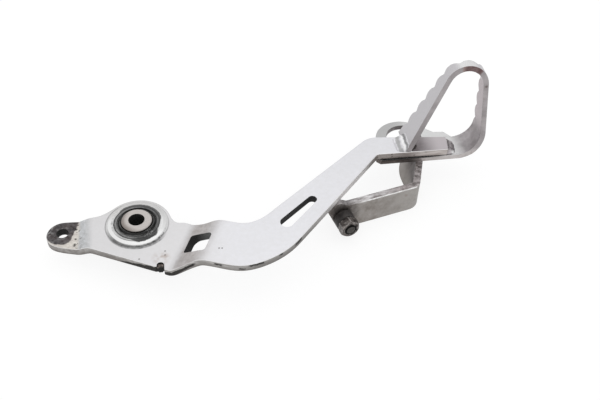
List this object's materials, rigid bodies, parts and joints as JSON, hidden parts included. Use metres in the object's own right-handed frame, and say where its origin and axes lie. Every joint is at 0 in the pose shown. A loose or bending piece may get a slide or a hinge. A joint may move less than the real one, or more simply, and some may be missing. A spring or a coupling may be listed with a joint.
{
  "type": "rear brake pedal",
  "caption": "Stamped steel motorcycle rear brake pedal with a sealed pivot boss, pushrod lug, serrated toe loop and an adjustable stop on a welded bracket.",
  "frame": {"origin": "on the pivot axis, at the inner end of the pivot sleeve", "axes": "+Z along the pivot to the outer face, +X forward to the toe loop, +Y up on the machine"},
  "size_m": [0.2456, 0.1056, 0.0746],
  "materials": {
    "plated_steel": "satin plated",
    "turned_steel": "turned",
    "sleeve_steel": "worn",
    "bracket_steel": "dull, sheared edges",
    "dark_steel": "dark, dirty",
    "weld": "rippled bead",
    "bronze": "plain",
    "black_rubber": "matt"
  },
  "bodies": {
    "sleeve": {"pivot_sleeve": "sleeve_steel"},
    "pedal": {"lever_plate": "plated_steel", "pivot_boss": "turned_steel", "boss_weld": "weld", "inner_bush": "bronze", "outer_bush": "bronze", "inner_seal": "black_rubber", "outer_seal": "black_rubber", "toe_loop": "plated_steel", "toe_foot_weld": "weld", "toe_tip_weld": "weld", "stop_bracket": "bracket_steel", "bracket_rear_weld": "weld", "bracket_front_weld": "weld", "stop_screw": "dark_steel", "stop_buffer": "black_rubber", "lock_nut": "dark_steel"}
  },
  "joints": [
    {"name": "pedal_swing", "type": "hinge", "parent": "sleeve", "child": "pedal", "pos_m": [0, 0, 0], "axis": [0, 0, 1], "range_deg": [-18, 4]}
  ]
}
